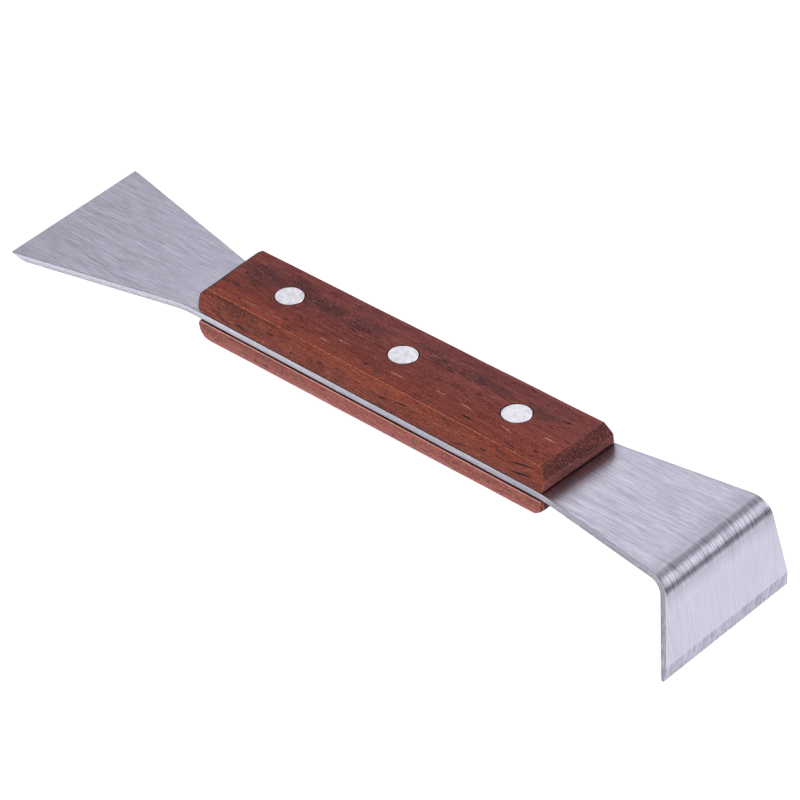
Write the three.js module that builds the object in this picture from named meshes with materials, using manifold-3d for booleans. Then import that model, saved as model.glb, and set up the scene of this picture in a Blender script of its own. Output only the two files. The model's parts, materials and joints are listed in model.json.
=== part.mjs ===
// Hive tool: a flared steel blade, a scraper at one end and a bent hook at the other, held
// between two wooden handle scales by three two-piece cutler's rivets.
//
// Millimetres. In the tool's own frame +X runs along the handle towards the hook, +Y across it
// and +Z out of the upper scale, with the origin at the middle of the handle on the blade's
// mid-plane. The near side is -Y and the far side is +Y. The finished tool is then laid down
// as it rests on a table, on the heel of its lower scale and the tip of its hook, with the
// table at z = 0 and the middle of its footprint at the origin.

import * as THREE from 'three';
import { mergeVertices } from 'three/addons/utils/BufferGeometryUtils.js';
import Module from 'manifold-3d';

const wasm = await Module();
wasm.setup();

// ---- Driving dimensions ----

const HANDLE_HALF_LENGTH = 65;
const FIT_GAP = 0.3; // clearance between pieces that touch

const BLADE_THICKNESS = 2.2;
const HALF_THICKNESS = BLADE_THICKNESS / 2;

// Along the tang the blank is about as wide as the handle, and it flares beyond each end.
const HANDLE_HALF_WIDTH_LEFT = 12.4;
const HANDLE_HALF_WIDTH_RIGHT = 13.4;
const NECK_NEAR_HALF_WIDTH = 12.4;
const NECK_FAR_HALF_WIDTH = 11.3;
const SCRAPER_EDGE_X = -129.5;
const SCRAPER_NEAR_HALF_WIDTH = 24.8;
const SCRAPER_FAR_HALF_WIDTH = 23.3;
const NECK_NEAR_X = -71.6;
const NECK_FAR_X = -69.5;
const NECK_ROUNDING = 3; // each neck corner is rounded this far to both sides
const SCRAPER_BEVEL_LENGTH = 4.2; // ground on the underside
const SCRAPER_EDGE_THICKNESS = 0.35;

const HOOK_FACE_X = 113.3; // where the blade's top and the hook's outer face would meet
const HOOK_BEND_DEGREES = 88;
const HOOK_INNER_RADIUS = 3.5;
const HOOK_DEPTH = 30.8; // from the blade's top face to the tip
const BEND_NEAR_HALF_WIDTH = 19.1;
const BEND_FAR_HALF_WIDTH = 19.6;
const HOOK_ROOT_NEAR_HALF_WIDTH = 20.1;
const HOOK_ROOT_FAR_HALF_WIDTH = 20.7;
const HOOK_TIP_NEAR_HALF_WIDTH = 23.9;
const HOOK_TIP_FAR_HALF_WIDTH = 24.1;
const HOOK_BEVEL_LENGTH = 5; // ground on the outer face
const HOOK_EDGE_THICKNESS = 0.9;

// The scales taper slightly: thicker at the scraper end, wider at the hook end. The upper one
// has sides that lean in. The lower one has upright sides and long edges rounded for the palm.
const SCALE_TAPER = 0.4; // the outer faces are this much higher at the left, lower at the right
const UPPER_OUTER_HEIGHT = 9.1; // from the blade's mid-plane to the outer face, mid-handle
const LOWER_OUTER_HEIGHT = 9.25;
const UPPER_INNER_HEIGHT = HALF_THICKNESS + FIT_GAP;
const LOWER_INNER_HEIGHT = HALF_THICKNESS + 0.5;
const UPPER_SIDE_SLOPE = 0.22;
const LOWER_EDGE_RADIUS = 3;
const LOWER_INNER_CHAMFER = 0.8;

const RIVET_XS = [-41, 2.3, 43.9];
const RIVET_Y = 0.5;
const RIVET_HEAD_RADIUS = 4;
const RIVET_HEAD_THICKNESS = 1.2;
const RIVET_HEAD_EDGE = 0.15;
const RIVET_HEAD_STAND = 0.08; // the heads stand this proud of the wood
const TUBE_OUTER_RADIUS = 2.6;
const TUBE_BORE_RADIUS = 1.8;
const PIN_RADIUS = TUBE_BORE_RADIUS - FIT_GAP;
const TUBE_TOP_Z = 5.2; // the tube's open end, inside the upper scale
const PIN_END_Z = -5.6; // the pin's end, inside the tube's bore
const TUBE_BORE_END_Z = -6.4;
const ROUND_SEGMENTS = 48;

// ---- Materials ----

const brushedSteel = new THREE.MeshStandardMaterial({
  color: 0xb9b6c2, roughness: 0.42, metalness: 1,
});
const rosewood = new THREE.MeshStandardMaterial({
  color: 0x7a3a2c, roughness: 0.55, metalness: 0,
});
const aluminium = new THREE.MeshStandardMaterial({
  color: 0xdedee4, roughness: 0.5, metalness: 1,
});

// ---- Solids ----

function toSolid(geometry) {
  geometry.deleteAttribute('normal');
  geometry.deleteAttribute('uv');
  const merged = mergeVertices(geometry, 1e-4);
  return new wasm.Manifold(new wasm.Mesh({
    numProp: 3,
    vertProperties: new Float32Array(merged.attributes.position.array),
    triVerts: new Uint32Array(merged.index.array),
  }));
}

function toGeometry(solid) {
  const mesh = solid.getMesh();
  const geometry = new THREE.BufferGeometry();
  geometry.setAttribute('position', new THREE.BufferAttribute(mesh.vertProperties, 3));
  geometry.setIndex(new THREE.BufferAttribute(mesh.triVerts, 1));
  geometry.computeVertexNormals();
  return geometry;
}

// A round cutter along Z at one rivet's place, from one height to another.
function rivetCutter(x, radius, low, high) {
  const cutter = new THREE.CylinderGeometry(radius, radius, high - low, ROUND_SEGMENTS);
  cutter.rotateX(Math.PI / 2);
  cutter.translate(x, RIVET_Y, (low + high) / 2);
  return toSolid(cutter);
}

// ---- Blade: cut as a flat blank, ground at both ends, then folded at the hook ----

const bendAngle = THREE.MathUtils.degToRad(HOOK_BEND_DEGREES);
const hookOuterRadius = HOOK_INNER_RADIUS + BLADE_THICKNESS;
const hookMidRadius = HOOK_INNER_RADIUS + HALF_THICKNESS;
const bendStart = HOOK_FACE_X - hookOuterRadius * Math.tan(bendAngle / 2);
const bendEnd = bendStart + hookMidRadius * bendAngle;
const hookStraight = (HOOK_DEPTH - hookOuterRadius * (1 - Math.cos(bendAngle))) / Math.sin(bendAngle);
const hookTip = bendEnd + hookStraight;

// Each edge of the blank: distance along it, and half width there.
const nearEdge = [
  [SCRAPER_EDGE_X, SCRAPER_NEAR_HALF_WIDTH],
  [NECK_NEAR_X, NECK_NEAR_HALF_WIDTH],
  [HANDLE_HALF_LENGTH, HANDLE_HALF_WIDTH_RIGHT],
  [bendStart, BEND_NEAR_HALF_WIDTH],
  [bendEnd, HOOK_ROOT_NEAR_HALF_WIDTH],
  [hookTip, HOOK_TIP_NEAR_HALF_WIDTH],
];
const farEdge = [
  [SCRAPER_EDGE_X, SCRAPER_FAR_HALF_WIDTH],
  [NECK_FAR_X, NECK_FAR_HALF_WIDTH],
  [HANDLE_HALF_LENGTH, HANDLE_HALF_WIDTH_RIGHT],
  [bendStart, BEND_FAR_HALF_WIDTH],
  [bendEnd, HOOK_ROOT_FAR_HALF_WIDTH],
  [hookTip, HOOK_TIP_FAR_HALF_WIDTH],
];

// Half width of one edge at a distance along the blank, with its second corner, at the neck,
// rounded by a parabola that meets both straight stretches.
function halfWidth(edge, along) {
  const next = Math.max(1, edge.findIndex(([distance]) => distance >= along));
  const [x0, w0] = edge[next - 1];
  const [x1, w1] = edge[next];
  const straight = w0 + ((w1 - w0) * (along - x0)) / (x1 - x0);
  const [start, neck, handle] = edge;
  const slopeBefore = (neck[1] - start[1]) / (neck[0] - start[0]);
  const slopeAfter = (handle[1] - neck[1]) / (handle[0] - neck[0]);
  const inside = Math.max(0, NECK_ROUNDING - Math.abs(along - neck[0]));
  return straight + ((slopeAfter - slopeBefore) * inside ** 2) / (4 * NECK_ROUNDING);
}

// Height of the blank's upper or lower face above its mid-plane, with the two ground bevels.
function faceHeight(along, side) {
  const fromScraperEdge = along - SCRAPER_EDGE_X;
  const fromHookTip = hookTip - along;
  if (side < 0 && fromScraperEdge < SCRAPER_BEVEL_LENGTH) {
    const ground = BLADE_THICKNESS - SCRAPER_EDGE_THICKNESS;
    return -HALF_THICKNESS + ground * (1 - fromScraperEdge / SCRAPER_BEVEL_LENGTH);
  }
  if (side > 0 && fromHookTip < HOOK_BEVEL_LENGTH) {
    const ground = BLADE_THICKNESS - HOOK_EDGE_THICKNESS;
    return HALF_THICKNESS - ground * (1 - fromHookTip / HOOK_BEVEL_LENGTH);
  }
  return side * HALF_THICKNESS;
}

// Where a point of the flat blank goes when the hook is folded down.
function fold(along, height) {
  if (along <= bendStart) {
    return { x: along, z: height };
  }
  const turned = Math.min(along - bendStart, bendEnd - bendStart) / hookMidRadius;
  const beyond = Math.max(0, along - bendEnd);
  return {
    x: bendStart + (hookMidRadius + height) * Math.sin(turned) + beyond * Math.cos(turned),
    z: -hookMidRadius + (hookMidRadius + height) * Math.cos(turned) - beyond * Math.sin(turned),
  };
}

function evenSteps(from, to, count) {
  return Array.from({ length: count + 1 }, (_, i) => from + ((to - from) * i) / count);
}

function makeBlade() {
  const stations = [
    SCRAPER_EDGE_X,
    SCRAPER_EDGE_X + SCRAPER_BEVEL_LENGTH,
    ...evenSteps(NECK_NEAR_X - NECK_ROUNDING, NECK_FAR_X + NECK_ROUNDING, 14),
    HANDLE_HALF_LENGTH,
    ...evenSteps(bendStart, bendEnd, 12),
    hookTip - HOOK_BEVEL_LENGTH,
    hookTip,
  ];
  const blank = new THREE.BoxGeometry(1, 1, 1, stations.length - 1, 1, 1);
  const position = blank.attributes.position;
  for (let i = 0; i < position.count; i += 1) {
    const along = stations[Math.round((position.getX(i) + 0.5) * (stations.length - 1))];
    const edge = position.getY(i) < 0 ? nearEdge : farEdge;
    const y = Math.sign(position.getY(i)) * halfWidth(edge, along);
    const { x, z } = fold(along, faceHeight(along, Math.sign(position.getZ(i))));
    position.setXYZ(i, x, y, z);
  }
  let solid = toSolid(blank);
  for (const x of RIVET_XS) {
    const radius = TUBE_OUTER_RADIUS + FIT_GAP;
    solid = solid.subtract(rivetCutter(x, radius, -BLADE_THICKNESS, BLADE_THICKNESS));
  }
  return toGeometry(solid);
}

// ---- Handle scales ----

// Distance of a scale's outer face from the blade's mid-plane.
function outerHeight(midHeight, x) {
  return midHeight - (SCALE_TAPER * x) / HANDLE_HALF_LENGTH;
}

// Half the scale's width where it lies on the blade.
function innerHalfWidth(x) {
  const share = (x + HANDLE_HALF_LENGTH) / (2 * HANDLE_HALF_LENGTH);
  return THREE.MathUtils.lerp(HANDLE_HALF_WIDTH_LEFT, HANDLE_HALF_WIDTH_RIGHT, share);
}

const midHalfWidth = innerHalfWidth(0);

// Side outlines give [x, distance from the mid-plane]. The upper scale has a sloped and then
// steeper nose at the scraper end, and a steep facet above a near-upright one at the hook end.
const upperScale = {
  up: 1,
  inner: UPPER_INNER_HEIGHT,
  outer: UPPER_OUTER_HEIGHT,
  farSkewLeft: 0.5, // how much further out the far corner of each end stands
  farSkewRight: 0.9,
  outline() {
    const left = -65.6;
    const right = 65;
    const outerLeft = outerHeight(this.outer, left);
    const outerRight = outerHeight(this.outer, right);
    return [
      [left + 0.8, this.inner],
      [right, this.inner],
      [right + 0.6, outerRight - 3.7],
      [right - 1.2, outerRight],
      [left + 4.4, outerLeft],
      [left + 0.7, outerLeft - 2.7],
      [left, outerLeft - 5.6],
      [left, this.inner + 0.8],
    ];
  },
  section() {
    const shape = new THREE.Shape();
    const outerHalfWidth = midHalfWidth - UPPER_SIDE_SLOPE * (this.outer - this.inner);
    shape.moveTo(-midHalfWidth, this.inner);
    shape.lineTo(midHalfWidth, this.inner);
    shape.lineTo(outerHalfWidth, this.outer);
    shape.lineTo(-outerHalfWidth, this.outer);
    return shape;
  },
};

// The lower scale sits a little nearer the scraper and is rounder at both ends.
const LOWER_LEFT_X = -66.6;
const LOWER_HEEL = 4;
const lowerScale = {
  up: -1,
  inner: LOWER_INNER_HEIGHT,
  outer: LOWER_OUTER_HEIGHT,
  farSkewLeft: 0,
  farSkewRight: 0,
  outline() {
    const left = LOWER_LEFT_X;
    const right = 64.5;
    return [
      [left + 1.2, this.inner],
      [right, this.inner],
      [right, this.inner + 3.4],
      [right - 1.6, this.inner + 5.2],
      [right - 4.5, outerHeight(this.outer, right - 4.5)],
      [left + LOWER_HEEL, outerHeight(this.outer, left + LOWER_HEEL)],
      [left + 1, this.inner + 5.6],
      [left, this.inner + 3.6],
      [left, this.inner + 1.3],
    ];
  },
  section() {
    const shape = new THREE.Shape();
    const arcY = midHalfWidth - LOWER_EDGE_RADIUS;
    const arcZ = this.outer - LOWER_EDGE_RADIUS;
    shape.moveTo(-midHalfWidth, this.inner + LOWER_INNER_CHAMFER);
    shape.lineTo(-midHalfWidth + LOWER_INNER_CHAMFER, this.inner);
    shape.lineTo(midHalfWidth - LOWER_INNER_CHAMFER, this.inner);
    shape.lineTo(midHalfWidth, this.inner + LOWER_INNER_CHAMFER);
    shape.absarc(arcY, arcZ, LOWER_EDGE_RADIUS, 0, Math.PI / 2, false);
    shape.absarc(-arcY, arcZ, LOWER_EDGE_RADIUS, Math.PI / 2, Math.PI, false);
    return shape;
  },
};

// The side outline carried straight across the handle.
function acrossHandle(scale) {
  const width = 2 * HANDLE_HALF_WIDTH_RIGHT + 2;
  const side = new THREE.Shape(scale.outline().map(([x, z]) => new THREE.Vector2(x, scale.up * z)));
  const geometry = new THREE.ExtrudeGeometry(side, { depth: width, bevelEnabled: false });
  geometry.translate(0, 0, -width / 2);
  geometry.rotateX(Math.PI / 2);
  const position = geometry.attributes.position;
  for (let i = 0; i < position.count; i += 1) {
    const x = position.getX(i);
    const skew = x > 0 ? scale.farSkewRight : -scale.farSkewLeft;
    position.setX(i, position.getY(i) > 0 ? x + skew : x);
  }
  return toSolid(geometry);
}

// The cross-section carried along the handle, tapering in width and in height.
function alongHandle(scale) {
  const reach = HANDLE_HALF_LENGTH + 5;
  const geometry = new THREE.ExtrudeGeometry(scale.section(), {
    depth: 2 * reach, bevelEnabled: false, curveSegments: 6,
  });
  const position = geometry.attributes.position;
  for (let i = 0; i < position.count; i += 1) {
    const x = position.getZ(i) - reach;
    const y = (position.getX(i) * innerHalfWidth(x)) / midHalfWidth;
    const z = position.getY(i);
    const share = (z - scale.inner) / (scale.outer - scale.inner);
    const height = z + share * (outerHeight(scale.outer, x) - scale.outer);
    position.setXYZ(i, x, scale.up * y, scale.up * height);
  }
  return toSolid(geometry);
}

// A scale is what the two have in common, less its rivet holes and the seats of their heads.
function makeScale(scale) {
  let solid = acrossHandle(scale).intersect(alongHandle(scale));
  for (const x of RIVET_XS) {
    const outer = outerHeight(scale.outer, x);
    const seat = outer - RIVET_HEAD_THICKNESS - FIT_GAP;
    const spans = [
      [TUBE_OUTER_RADIUS + FIT_GAP, 0, outer],
      [RIVET_HEAD_RADIUS + FIT_GAP, seat, outer + 1],
    ];
    for (const [radius, from, to] of spans) {
      const [low, high] = scale.up > 0 ? [from, to] : [-to, -from];
      solid = solid.subtract(rivetCutter(x, radius, low, high));
    }
  }
  return toGeometry(solid);
}

// ---- Rivets ----

// A body of revolution about Z from a profile of [radius, height] points.
function turned(profile) {
  const points = profile.map(([radius, height]) => new THREE.Vector2(radius, height));
  const geometry = new THREE.LatheGeometry(points, ROUND_SEGMENTS);
  geometry.rotateX(Math.PI / 2);
  return toGeometry(toSolid(geometry));
}

// The pin's head lies in the upper scale and its shank runs down the tube's bore.
function makeRivetPin(x) {
  const top = outerHeight(UPPER_OUTER_HEIGHT, x) + RIVET_HEAD_STAND;
  const underHead = top - RIVET_HEAD_THICKNESS;
  return turned([
    [0, PIN_END_Z],
    [PIN_RADIUS, PIN_END_Z],
    [PIN_RADIUS, underHead],
    [RIVET_HEAD_RADIUS, underHead],
    [RIVET_HEAD_RADIUS, top - RIVET_HEAD_EDGE],
    [RIVET_HEAD_RADIUS - RIVET_HEAD_EDGE, top],
    [0, top],
  ]);
}

// The tube's head lies in the lower scale and its open end points up.
function makeRivetTube(x) {
  const bottom = -outerHeight(LOWER_OUTER_HEIGHT, x) - RIVET_HEAD_STAND;
  const aboveHead = bottom + RIVET_HEAD_THICKNESS;
  return turned([
    [0, bottom],
    [RIVET_HEAD_RADIUS - RIVET_HEAD_EDGE, bottom],
    [RIVET_HEAD_RADIUS, bottom + RIVET_HEAD_EDGE],
    [RIVET_HEAD_RADIUS, aboveHead],
    [TUBE_OUTER_RADIUS, aboveHead],
    [TUBE_OUTER_RADIUS, TUBE_TOP_Z],
    [TUBE_BORE_RADIUS, TUBE_TOP_Z],
    [TUBE_BORE_RADIUS, TUBE_BORE_END_Z],
    [0, TUBE_BORE_END_Z],
  ]);
}

// ---- Assembly ----

const tool = new THREE.Group();

function addPart(name, geometry, material, x = 0, y = 0) {
  const mesh = new THREE.Mesh(geometry, material);
  mesh.name = name;
  mesh.position.set(x, y, 0);
  tool.add(mesh);
}

addPart('blade', makeBlade(), brushedSteel);
addPart('upper_scale', makeScale(upperScale), rosewood);
addPart('lower_scale', makeScale(lowerScale), rosewood);
const rivetPlaces = ['scraper_end', 'middle', 'hook_end'];
rivetPlaces.forEach((place, i) => {
  addPart(`rivet_pin_${place}`, makeRivetPin(RIVET_XS[i]), aluminium, RIVET_XS[i], RIVET_Y);
  addPart(`rivet_tube_${place}`, makeRivetTube(RIVET_XS[i]), aluminium, RIVET_XS[i], RIVET_Y);
});

// Lay the tool down: pitch it until the lower scale's heel and the hook's tip are level.
const heel = { x: LOWER_LEFT_X + LOWER_HEEL, z: 0 };
heel.z = -outerHeight(LOWER_OUTER_HEIGHT, heel.x);
const tip = fold(hookTip, -HALF_THICKNESS);
tool.rotation.y = -Math.atan2(heel.z - tip.z, tip.x - heel.x);

const hiveTool = new THREE.Group();
hiveTool.add(tool);
const box = new THREE.Box3().setFromObject(hiveTool, true);
const middle = box.getCenter(new THREE.Vector3());
tool.position.set(-middle.x, -middle.y, -box.min.z);

export default hiveTool;
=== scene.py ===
"""Hive tool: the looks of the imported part.

The steel blade, the two wooden scales and the six rivet halves are rebuilt here as fine meshes
that stand for the CAD nodes. Every piece is modelled in the tool's own frame, where +X runs
along the handle towards the hook, +Y across it and +Z out of the upper scale, with the origin
at the middle of the handle on the blade's mid-plane. That frame is found from the record's flat
faces and from the middle rivet, and each finished mesh is carried from it to the row frame.
"""

import json
import math
from dataclasses import dataclass
from itertools import product

import bpy
from mathutils import Matrix, Vector, noise

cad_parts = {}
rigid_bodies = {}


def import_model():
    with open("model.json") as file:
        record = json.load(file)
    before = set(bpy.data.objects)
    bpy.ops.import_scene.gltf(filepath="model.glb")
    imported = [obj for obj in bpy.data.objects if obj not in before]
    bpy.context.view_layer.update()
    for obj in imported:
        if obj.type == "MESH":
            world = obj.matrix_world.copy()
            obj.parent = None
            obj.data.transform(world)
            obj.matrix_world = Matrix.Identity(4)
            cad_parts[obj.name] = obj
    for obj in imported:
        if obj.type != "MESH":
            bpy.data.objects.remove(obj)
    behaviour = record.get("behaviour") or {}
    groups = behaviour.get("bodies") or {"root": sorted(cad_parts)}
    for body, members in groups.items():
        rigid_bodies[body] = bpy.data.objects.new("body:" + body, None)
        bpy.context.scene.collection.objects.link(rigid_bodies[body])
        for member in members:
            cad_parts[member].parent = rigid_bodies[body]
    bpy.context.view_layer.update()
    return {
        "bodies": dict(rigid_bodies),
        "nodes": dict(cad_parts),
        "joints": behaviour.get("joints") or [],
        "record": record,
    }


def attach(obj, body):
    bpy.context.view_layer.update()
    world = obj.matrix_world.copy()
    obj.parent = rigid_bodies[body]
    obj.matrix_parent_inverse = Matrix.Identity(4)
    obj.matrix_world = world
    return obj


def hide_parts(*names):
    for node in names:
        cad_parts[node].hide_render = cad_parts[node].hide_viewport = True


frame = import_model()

MM = 0.001


# ---- The tool's own frame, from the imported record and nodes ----

def mount(name):
    found = next(m for m in frame["record"]["mounts"] if m["name"] == name)
    return Vector(found["pos_m"]), Vector(found["axis"]).normalized()


blade_top, blade_up = mount("scraper_top")
blade_underside, _ = mount("scraper_underside")
TURN = Matrix((Vector((0, 1, 0)).cross(blade_up), Vector((0, 1, 0)), blade_up)).transposed()
HALF_THICKNESS = (blade_top - blade_underside).dot(blade_up) / 2


def turned_box(node):
    """Lowest and highest corner of a CAD node along the tool's axes, from the row's origin."""
    points = [TURN.transposed() @ v.co for v in frame["nodes"][node].data.vertices]
    return [Vector([pick(p[axis] for p in points) for axis in range(3)]) for pick in (min, max)]


MIDDLE_RIVET = Vector((2.3, 0.5, 0)) * MM  # from the middle of the handle
rivet_low, rivet_high = turned_box("rivet_pin_middle")
mid_plane = blade_up.dot(blade_top + blade_underside) / 2
ORIGIN = (rivet_low + rivet_high) / 2 - MIDDLE_RIVET
ORIGIN.z = mid_plane
TOOL = Matrix.Translation(TURN @ ORIGIN) @ TURN.to_4x4()


def tool_box(node):
    low, high = turned_box(node)
    return low - ORIGIN, high - ORIGIN


# ---- Camera ----

CAMERA_AIM = Vector((2.1, -2.7, -4.3)) * MM  # in the tool's frame, near the middle rivet
CAMERA_DISTANCE = 1.2255
CAMERA_AZIMUTH = 49.75  # degrees round the tool's Z, from looking along +Y
CAMERA_ELEVATION = 37.66
CAMERA_ROLL = 8.35
CAMERA_LENS = 207  # millimetres on a sensor 36 mm wide


def add_camera():
    data = bpy.data.cameras.new("camera")
    data.lens = CAMERA_LENS
    data.sensor_width = 36
    data.clip_start, data.clip_end = 0.05, 20
    turn = (
        Matrix.Rotation(math.radians(CAMERA_AZIMUTH), 4, "Z")
        @ Matrix.Rotation(math.radians(90 - CAMERA_ELEVATION), 4, "X")
        @ Matrix.Rotation(-math.radians(CAMERA_ROLL), 4, "Z")
    )
    back = turn.to_3x3() @ Vector((0, 0, 1))
    camera = bpy.data.objects.new("camera", data)
    bpy.context.scene.collection.objects.link(camera)
    place = Matrix.Translation(CAMERA_AIM + back * CAMERA_DISTANCE) @ turn
    camera.matrix_world = TOOL @ place
    bpy.context.scene.camera = camera


# ---- Mesh helpers ----

SHARP_DEGREES = 35  # faces that meet at a larger angle than this make a sharp edge


def make_object(name, points, faces, smooth_degrees=SHARP_DEGREES):
    """A smooth-shaded mesh in the tool's frame, sharp where faces meet at a larger angle."""
    mesh = bpy.data.meshes.new(name)
    mesh.from_pydata(points, [], faces)
    mesh.validate()
    mesh.polygons.foreach_set("use_smooth", [True] * len(mesh.polygons))
    mesh.set_sharp_from_angle(angle=math.radians(smooth_degrees))
    piece = bpy.data.objects.new(name, mesh)
    bpy.context.scene.collection.objects.link(piece)
    return piece


def hand_in(piece, node, slot, *materials):
    piece.data.transform(TOOL)
    for material in materials:
        piece.data.materials.append(material)
    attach(piece, "root")
    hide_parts(node)


def even_steps(start, end, count):
    return [start + (end - start) * i / count for i in range(count + 1)]


def on_line(points, at):
    """Value at a distance along a polyline of (distance, value)."""
    for (x0, v0), (x1, v1) in zip(points, points[1:]):
        if at <= x1:
            break
    return v0 + (v1 - v0) * (at - x0) / (x1 - x0)


def on_rounded_line(points, at, reach):
    """The same, with the corners rounded over a reach to both sides."""
    weights = ((-1, 1), (-0.5, 2), (0, 2), (0.5, 2), (1, 1))
    low, high = points[0][0], points[-1][0]
    total = sum(
        weight * on_line(points, min(max(at + shift * reach, low), high))
        for shift, weight in weights
    )
    return total / sum(weight for _, weight in weights)


def smooth_step(low, high, value):
    t = min(max((value - low) / (high - low), 0), 1)
    return t * t * (3 - 2 * t)


def wave(point, wavelength, seed):
    """Smooth noise from -1 to 1 with features about a wavelength apart."""
    return noise.noise(Vector(point) / wavelength + Vector((seed, seed * 1.7, -seed)))


def ripple(point, size, seed):
    """The same as a distance, for ripples of a given (depth, wavelength)."""
    depth, wavelength = size
    return depth * wave(point, wavelength, seed)


# ---- Sizes that the blade and the scales share ----

HANDLE_HALF_LENGTH = 65 * MM
HALF_WIDTH_LEFT = 12.4 * MM  # of the handle, at its scraper end
HALF_WIDTH_RIGHT = 13.4 * MM  # and at its hook end
MID_HALF_WIDTH = (HALF_WIDTH_LEFT + HALF_WIDTH_RIGHT) / 2


# ---- Blade ----

blade_low, _ = tool_box("blade")
hook_point, hook_out = mount("hook_outer_face")
hook_point = TOOL.inverted() @ hook_point
hook_out = TURN.transposed() @ hook_out

BEND_ANGLE = math.atan2(hook_out.x, hook_out.z)
HOOK_INNER_RADIUS = 3.5 * MM
HOOK_OUTER_RADIUS = HOOK_INNER_RADIUS + 2 * HALF_THICKNESS
HOOK_MID_RADIUS = HOOK_INNER_RADIUS + HALF_THICKNESS
# Where the planes of the blade's top and of the hook's outer face meet.
HOOK_CORNER_X = hook_point.x + (hook_point.z - HALF_THICKNESS) * hook_out.z / hook_out.x
BEND_START = HOOK_CORNER_X - HOOK_OUTER_RADIUS * math.tan(BEND_ANGLE / 2)
BEND_END = BEND_START + HOOK_MID_RADIUS * BEND_ANGLE
HOOK_STRAIGHT = (
    -blade_low.z - HOOK_MID_RADIUS + HOOK_INNER_RADIUS * math.cos(BEND_ANGLE)
) / math.sin(BEND_ANGLE)
HOOK_TIP = BEND_END + HOOK_STRAIGHT
SCRAPER_EDGE = blade_low.x

# Half width of the blade's near (-Y) and far (+Y) edge along the flat blank.
NECK_ROUNDING = 3 * MM
NEAR_EDGE = [
    (SCRAPER_EDGE, 24.8 * MM),
    (-71.6 * MM, 12.4 * MM),
    (HANDLE_HALF_LENGTH, HALF_WIDTH_RIGHT),
    (BEND_START, 19.1 * MM),
    (BEND_END, 20.1 * MM),
    (HOOK_TIP, 23.9 * MM),
]
FAR_EDGE = [
    (SCRAPER_EDGE, 23.3 * MM),
    (-69.5 * MM, 11.3 * MM),
    (HANDLE_HALF_LENGTH, HALF_WIDTH_RIGHT),
    (BEND_START, 19.6 * MM),
    (BEND_END, 20.7 * MM),
    (HOOK_TIP, 24.1 * MM),
]
SCRAPER_BEVEL = 4.2 * MM
SCRAPER_EDGE_THICKNESS = 0.35 * MM
HOOK_BEVEL = 5 * MM
HOOK_EDGE_THICKNESS = 0.9 * MM
BLADE_EDGE_RADIUS = 0.22 * MM
THIN_EDGE_SHARE = 0.4  # the radius's largest share of the thickness where the blade is thin
SHEARED_RIPPLE = (0.05 * MM, 9 * MM)
CREASE = 0.12 * MM  # lines this close to both sides of a bevel's start keep it crisp
BLADE_ROW = 40  # steps across the blade
EDGE_ARC = 3  # steps round each quarter of an edge
TOP_STEEL, HOOK_STEEL, GROUND_STEEL, CUT_STEEL = range(4)  # the blade's materials
CUT_FACING = 0.6  # a face belongs to the sheared sides if it faces across by more than this
BEVEL_FACING = 0.8  # and to the hook's bevel if it faces outwards by more than this


def fold(along, height):
    """Where a point of the flat blank goes when the hook is folded down: its x and z."""
    if along <= BEND_START:
        return along, height
    turned = min(along, BEND_END) - BEND_START
    angle = turned / HOOK_MID_RADIUS
    beyond = max(0, along - BEND_END)
    x = BEND_START + (HOOK_MID_RADIUS + height) * math.sin(angle) + beyond * math.cos(angle)
    z = -HOOK_MID_RADIUS + (HOOK_MID_RADIUS + height) * math.cos(angle) - beyond * math.sin(angle)
    return x, z


def blade_section(along):
    """The (y, height) points round the blade, from the near end of its top row."""
    near = on_rounded_line(NEAR_EDGE, along, NECK_ROUNDING)
    far = on_rounded_line(FAR_EDGE, along, NECK_ROUNDING)
    near += ripple((along, 0, 0), SHEARED_RIPPLE, seed=1)
    far += ripple((along, 0, 0), SHEARED_RIPPLE, seed=5)
    ground_under = 1 - min((along - SCRAPER_EDGE) / SCRAPER_BEVEL, 1)
    ground_outside = 1 - min((HOOK_TIP - along) / HOOK_BEVEL, 1)
    top = HALF_THICKNESS - (2 * HALF_THICKNESS - HOOK_EDGE_THICKNESS) * ground_outside
    bottom = -HALF_THICKNESS + (2 * HALF_THICKNESS - SCRAPER_EDGE_THICKNESS) * ground_under
    radius = min(BLADE_EDGE_RADIUS, (top - bottom) * THIN_EDGE_SHARE)
    row = even_steps(-near + radius, far - radius, BLADE_ROW)
    turns = [math.radians(90 - 90 * i / EDGE_ARC) for i in range(1, EDGE_ARC + 1)]
    arc = [(radius * math.cos(t), radius * math.sin(t)) for t in turns]
    far_side = [(far - radius + dy, top - radius + dz) for dy, dz in arc]
    far_side += [(far - radius + dy, bottom + radius - dz) for dy, dz in reversed(arc)]
    near_side = [(-near + radius - dy, bottom + radius - dz) for dy, dz in arc]
    near_side += [(-near + radius - dy, top - radius + dz) for dy, dz in reversed(arc)]
    top_row = [(y, top) for y in row]
    bottom_row = [(y, bottom) for y in reversed(row)]
    return top_row + far_side + bottom_row + near_side


def blade_stations():
    """Distances along the blank at which the blade's section is drawn."""
    scraper_bevel_end = SCRAPER_EDGE + SCRAPER_BEVEL
    hook_bevel_start = HOOK_TIP - HOOK_BEVEL
    return [
        *even_steps(SCRAPER_EDGE, scraper_bevel_end - CREASE, 6),
        *even_steps(scraper_bevel_end + CREASE, BEND_START, 150),
        *even_steps(BEND_START, BEND_END, 36)[1:],
        *even_steps(BEND_END, hook_bevel_start - CREASE, 24)[1:],
        *even_steps(hook_bevel_start + CREASE, HOOK_TIP, 8),
    ]


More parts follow.
